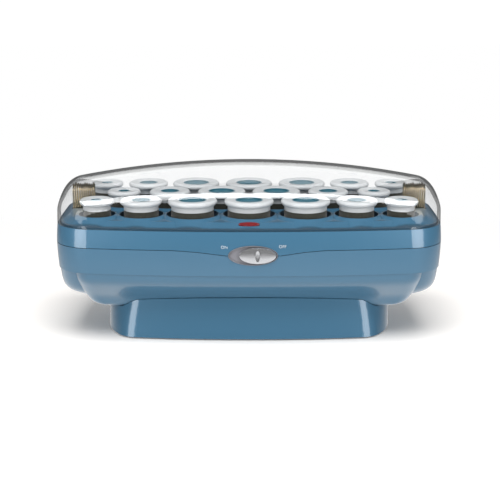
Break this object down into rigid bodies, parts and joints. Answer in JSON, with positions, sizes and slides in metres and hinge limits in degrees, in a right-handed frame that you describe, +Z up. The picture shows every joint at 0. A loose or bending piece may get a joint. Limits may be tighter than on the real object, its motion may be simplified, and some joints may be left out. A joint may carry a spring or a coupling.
{
  "type": "heated hair roller set",
  "caption": "Blue heated hair-roller case on a pedestal, with a hinged clear lid, a sliding switch, pockets of U-pins and lift-out rollers in three sizes.",
  "frame": {"origin": "on the table, under the middle of the case", "axes": "+Z up, +X along the case to the user's right, -Y towards the user (the side with the switch)"},
  "size_m": [0.346, 0.1666, 0.1538],
  "materials": {
    "blue_case": "pearl gloss",
    "rubber": "matt",
    "clear_plastic": "clear, polished",
    "steel": "bright",
    "grey_plastic": "satin",
    "silver_plastic": "metallic satin",
    "black_plastic": "matt",
    "red_lens": "clear red",
    "lamp_glass": "clear",
    "aluminium": "turned",
    "cord": "satin",
    "barrel": "fine ribbed",
    "white_plastic": "satin"
  },
  "bodies": {
    "base": {"case_screws": "steel", "foot_pads": "rubber", "heater_plate": "aluminium", "heating_element": "steel", "heating_posts": "aluminium", "hinge_pins": "steel", "indicator_lens": "red_lens", "lower_housing": "blue_case", "neon_lamp": "lamp_glass", "pedestal_foot": "blue_case", "power_cord": "cord", "roller_tray": "blue_case", "slide_switch": "black_plastic", "switch_bezel": "grey_plastic", "thermostat": "steel", "upper_housing": "blue_case"},
    "lid": {"clear_lid": "clear_plastic"},
    "power_switch": {"switch_knob": "silver_plastic"},
    "pins_left": {"u_pins_left": "steel"},
    "pins_right": {"u_pins_right": "steel"},
    "front_roller_1": {"front_roller_1_barrel": "barrel", "front_roller_1_rings": "white_plastic"},
    "front_roller_2": {"front_roller_2_barrel": "barrel", "front_roller_2_rings": "white_plastic"},
    "front_roller_3": {"front_roller_3_barrel": "barrel", "front_roller_3_rings": "white_plastic"},
    "front_roller_4": {"front_roller_4_barrel": "barrel", "front_roller_4_rings": "white_plastic"},
    "front_roller_5": {"front_roller_5_barrel": "barrel", "front_roller_5_rings": "white_plastic"},
    "front_roller_6": {"front_roller_6_barrel": "barrel", "front_roller_6_rings": "white_plastic"},
    "front_roller_7": {"front_roller_7_barrel": "barrel", "front_roller_7_rings": "white_plastic"},
    "middle_roller_1": {"middle_roller_1_barrel": "barrel", "middle_roller_1_rings": "white_plastic"},
    "middle_roller_2": {"middle_roller_2_barrel": "barrel", "middle_roller_2_rings": "white_plastic"},
    "middle_roller_3": {"middle_roller_3_barrel": "barrel", "middle_roller_3_rings": "white_plastic"},
    "middle_roller_4": {"middle_roller_4_barrel": "barrel", "middle_roller_4_rings": "white_plastic"},
    "middle_roller_5": {"middle_roller_5_barrel": "barrel", "middle_roller_5_rings": "white_plastic"},
    "middle_roller_6": {"middle_roller_6_barrel": "barrel", "middle_roller_6_rings": "white_plastic"},
    "back_roller_1": {"back_roller_1_barrel": "barrel", "back_roller_1_rings": "white_plastic"},
    "back_roller_2": {"back_roller_2_barrel": "barrel", "back_roller_2_rings": "white_plastic"},
    "back_roller_3": {"back_roller_3_barrel": "barrel", "back_roller_3_rings": "white_plastic"},
    "back_roller_4": {"back_roller_4_barrel": "barrel", "back_roller_4_rings": "white_plastic"},
    "back_roller_5": {"back_roller_5_barrel": "barrel", "back_roller_5_rings": "white_plastic"},
    "back_roller_6": {"back_roller_6_barrel": "barrel", "back_roller_6_rings": "white_plastic"},
    "back_roller_7": {"back_roller_7_barrel": "barrel", "back_roller_7_rings": "white_plastic"}
  },
  "joints": [
    {"name": "lid_hinge", "type": "hinge", "parent": "base", "child": "lid", "pos_m": [0, 0.08, 0.105], "axis": [-1, 0, 0], "range_deg": [0, 100]},
    {"name": "pins_left_lift", "type": "slide", "parent": "base", "child": "pins_left", "axis": [0, 0, 1], "range_m": [0, 0.0008]},
    {"name": "pins_right_lift", "type": "slide", "parent": "base", "child": "pins_right", "axis": [0, 0, 1], "range_m": [0, 0.0008]},
    {"name": "power_switch_slide", "type": "slide", "parent": "base", "child": "power_switch", "axis": [-1, 0, 0], "range_m": [0, 0.008]},
    {"name": "roller_lift_front_1", "type": "slide", "parent": "base", "child": "front_roller_1", "axis": [0, 0, 1], "range_m": [0, 0.0015]},
    {"name": "roller_lift_front_2", "type": "slide", "parent": "base", "child": "front_roller_2", "axis": [0, 0, 1], "range_m": [0, 0.0058]},
    {"name": "roller_lift_front_3", "type": "slide", "parent": "base", "child": "front_roller_3", "axis": [0, 0, 1], "range_m": [0, 0.0085]},
    {"name": "roller_lift_front_4", "type": "slide", "parent": "base", "child": "front_roller_4", "axis": [0, 0, 1], "range_m": [0, 0.0085]},
    {"name": "roller_lift_front_5", "type": "slide", "parent": "base", "child": "front_roller_5", "axis": [0, 0, 1], "range_m": [0, 0.0085]},
    {"name": "roller_lift_front_6", "type": "slide", "parent": "base", "child": "front_roller_6", "axis": [0, 0, 1], "range_m": [0, 0.0058]},
    {"name": "roller_lift_front_7", "type": "slide", "parent": "base", "child": "front_roller_7", "axis": [0, 0, 1], "range_m": [0, 0.0015]},
    {"name": "roller_lift_middle_1", "type": "slide", "parent": "base", "child": "middle_roller_1", "axis": [0, 0, 1], "range_m": [0, 0.0134]},
    {"name": "roller_lift_middle_2", "type": "slide", "parent": "base", "child": "middle_roller_2", "axis": [0, 0, 1], "range_m": [0, 0.0185]},
    {"name": "roller_lift_middle_3", "type": "slide", "parent": "base", "child": "middle_roller_3", "axis": [0, 0, 1], "range_m": [0, 0.0215]},
    {"name": "roller_lift_middle_4", "type": "slide", "parent": "base", "child": "middle_roller_4", "axis": [0, 0, 1], "range_m": [0, 0.0215]},
    {"name": "roller_lift_middle_5", "type": "slide", "parent": "base", "child": "middle_roller_5", "axis": [0, 0, 1], "range_m": [0, 0.0185]},
    {"name": "roller_lift_middle_6", "type": "slide", "parent": "base", "child": "middle_roller_6", "axis": [0, 0, 1], "range_m": [0, 0.0134]},
    {"name": "roller_lift_back_1", "type": "slide", "parent": "base", "child": "back_roller_1", "axis": [0, 0, 1], "range_m": [0, 0.0015]},
    {"name": "roller_lift_back_2", "type": "slide", "parent": "base", "child": "back_roller_2", "axis": [0, 0, 1], "range_m": [0, 0.0058]},
    {"name": "roller_lift_back_3", "type": "slide", "parent": "base", "child": "back_roller_3", "axis": [0, 0, 1], "range_m": [0, 0.0085]},
    {"name": "roller_lift_back_4", "type": "slide", "parent": "base", "child": "back_roller_4", "axis": [0, 0, 1], "range_m": [0, 0.0085]},
    {"name": "roller_lift_back_5", "type": "slide", "parent": "base", "child": "back_roller_5", "axis": [0, 0, 1], "range_m": [0, 0.0085]},
    {"name": "roller_lift_back_6", "type": "slide", "parent": "base", "child": "back_roller_6", "axis": [0, 0, 1], "range_m": [0, 0.0058]},
    {"name": "roller_lift_back_7", "type": "slide", "parent": "base", "child": "back_roller_7", "axis": [0, 0, 1], "range_m": [0, 0.0015]}
  ]
}
